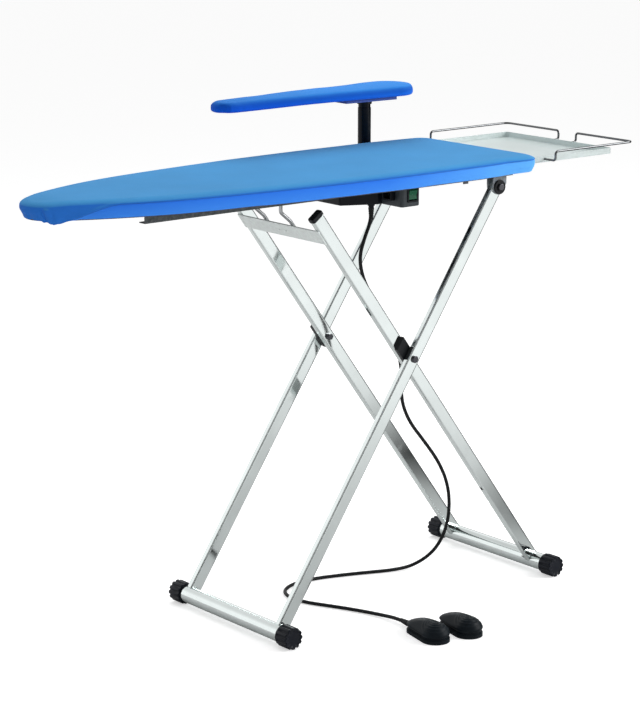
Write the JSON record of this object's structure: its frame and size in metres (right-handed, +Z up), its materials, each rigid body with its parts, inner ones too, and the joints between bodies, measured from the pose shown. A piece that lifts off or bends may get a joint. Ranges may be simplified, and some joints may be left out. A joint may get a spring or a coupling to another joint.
{
  "type": "vacuum ironing table",
  "caption": "Folding crossed-leg vacuum ironing table with padded blue board, swivelling sleeve board, sliding iron tray with wire guard, suction fan and foot pedals on a cable",
  "frame": {"origin": "middle of the whole table's footprint, on the floor, measured without the pedal cable", "axes": "+Z up; +X from the pointed nose of the board towards its square tail and the iron tray; -Y the near side with the switch and the pedals"},
  "size_m": [1.4864, 0.6908, 1.105],
  "materials": {
    "blue_cover": "woven quilted cotton cover, blue",
    "felt": "needled polyester felt",
    "elastic": "woven elastic cord",
    "sheet_steel": "plain sheet steel",
    "perforated_sheet": "perforated aluminium sheet",
    "element": "sheathed heating tube",
    "chrome_tube": "polished chromed steel tube",
    "black_rubber": "matte black rubber",
    "black_plastic": "black moulded plastic",
    "grey_plastic": "dark grey moulded plastic",
    "green_plastic": "green rocker",
    "zinc_steel": "bright zinc-plated steel",
    "bracket_steel": "grey-blue painted steel",
    "plate_steel": "light grey satin plate",
    "dark_steel": "dark painted steel",
    "post_black": "gloss black painted tube",
    "tray_sheet": "light grey painted sheet",
    "guard_wire": "bright plated wire",
    "motor_can": "cast motor can",
    "brass_and_plastic": "cream moulded terminal strip",
    "cable_black": "black rubber-sheathed cable"
  },
  "bodies": {
    "board": {"board_pan": "sheet_steel", "perforated_plate": "perforated_sheet", "heating_element": "element", "element_clips": "zinc_steel", "thermostat": "sheet_steel", "felt_pad": "felt", "board_cover": "blue_cover", "hem_elastic": "elastic", "rail_near": "dark_steel", "rail_far": "dark_steel", "height_racks": "zinc_steel", "tail_bracket_near": "bracket_steel", "tail_bracket_far": "bracket_steel", "tail_pivot_discs": "black_plastic", "tail_pivot_bolts": "zinc_steel", "tail_pivot_nuts": "zinc_steel", "bracket_wing_screws": "dark_steel", "fan_housing": "black_plastic", "fan_gasket": "black_rubber", "fan_motor": "motor_can", "control_box": "grey_plastic", "switch_frame": "black_plastic", "mains_inlet": "black_plastic", "terminal_block": "brass_and_plastic", "cable_gland": "black_plastic", "sleeve_duct": "dark_steel", "sleeve_post": "post_black", "tray_clamps": "zinc_steel", "tray_wing_screws": "dark_steel", "pedal_base_left": "black_plastic", "pedal_base_right": "black_plastic", "pedal_switches": "grey_plastic", "pedal_springs": "zinc_steel", "pedal_grommets": "black_rubber", "pedal_cable": "cable_black"},
    "outer_frame": {"outer_leg_near": "chrome_tube", "outer_leg_far": "chrome_tube", "outer_foot_tube": "chrome_tube", "outer_foot_caps": "black_rubber", "pivot_bolts": "zinc_steel", "pivot_nuts": "zinc_steel"},
    "inner_frame": {"inner_leg_near": "chrome_tube", "inner_leg_far": "chrome_tube", "inner_foot_tube": "chrome_tube", "inner_foot_caps": "black_rubber", "leg_top_caps": "black_plastic", "cross_plate": "plate_steel", "hook_rods": "dark_steel", "pivot_spacers": "black_plastic"},
    "suction_fan": {"fan_impeller": "grey_plastic"},
    "switch_rocker": {"rocker": "green_plastic"},
    "left_pedal": {"pedal_cap_left": "black_rubber"},
    "right_pedal": {"pedal_cap_right": "black_rubber"},
    "sleeve_board": {"sleeve_collar": "black_plastic", "sleeve_pan": "sheet_steel", "sleeve_plate": "perforated_sheet", "sleeve_cover": "blue_cover"},
    "tray": {"iron_tray": "tray_sheet", "guard_wires": "guard_wire", "tray_arms": "dark_steel"}
  },
  "joints": [
    {"name": "leg_fold", "type": "hinge", "parent": "board", "child": "outer_frame", "pos_m": [0.3642, 0.0554, 0.9156], "axis": [0, 1, 0], "range_deg": [0, 48]},
    {"name": "inner_fold", "type": "hinge", "parent": "outer_frame", "child": "inner_frame", "pos_m": [0.125, 0.0554, 0.56454], "axis": [0, 1, 0], "range_deg": [-93, 0]},
    {"name": "sleeve_swivel", "type": "hinge", "parent": "board", "child": "sleeve_board", "pos_m": [0.3147, 0.2854, 1.068], "axis": [0, 0, 1], "range_deg": [-180, 180]},
    {"name": "tray_slide", "type": "slide", "parent": "board", "child": "tray", "axis": [1, 0, 0], "range_m": [0, 0.08]},
    {"name": "fan_spin", "type": "hinge", "parent": "board", "child": "suction_fan", "pos_m": [0.1377, 0.1044, 0.925], "axis": [0, 0, 1], "continuous": true},
    {"name": "switch_rock", "type": "hinge", "parent": "board", "child": "switch_rocker", "pos_m": [0.1832, -0.0266, 0.908], "axis": [1, 0, 0], "range_deg": [-16, 0]},
    {"name": "left_pedal_press", "type": "slide", "parent": "board", "child": "left_pedal", "axis": [0, 0, -1], "range_m": [0, 0.004], "stiffness_N_per_m": 1500, "springref_m": -0.003},
    {"name": "right_pedal_press", "type": "slide", "parent": "board", "child": "right_pedal", "axis": [0, 0, -1], "range_m": [0, 0.004], "stiffness_N_per_m": 1500, "springref_m": -0.003}
  ],
  "couplings": [
    {"joint": "inner_fold", "follows": "leg_fold", "ratio": -1.93}
  ]
}
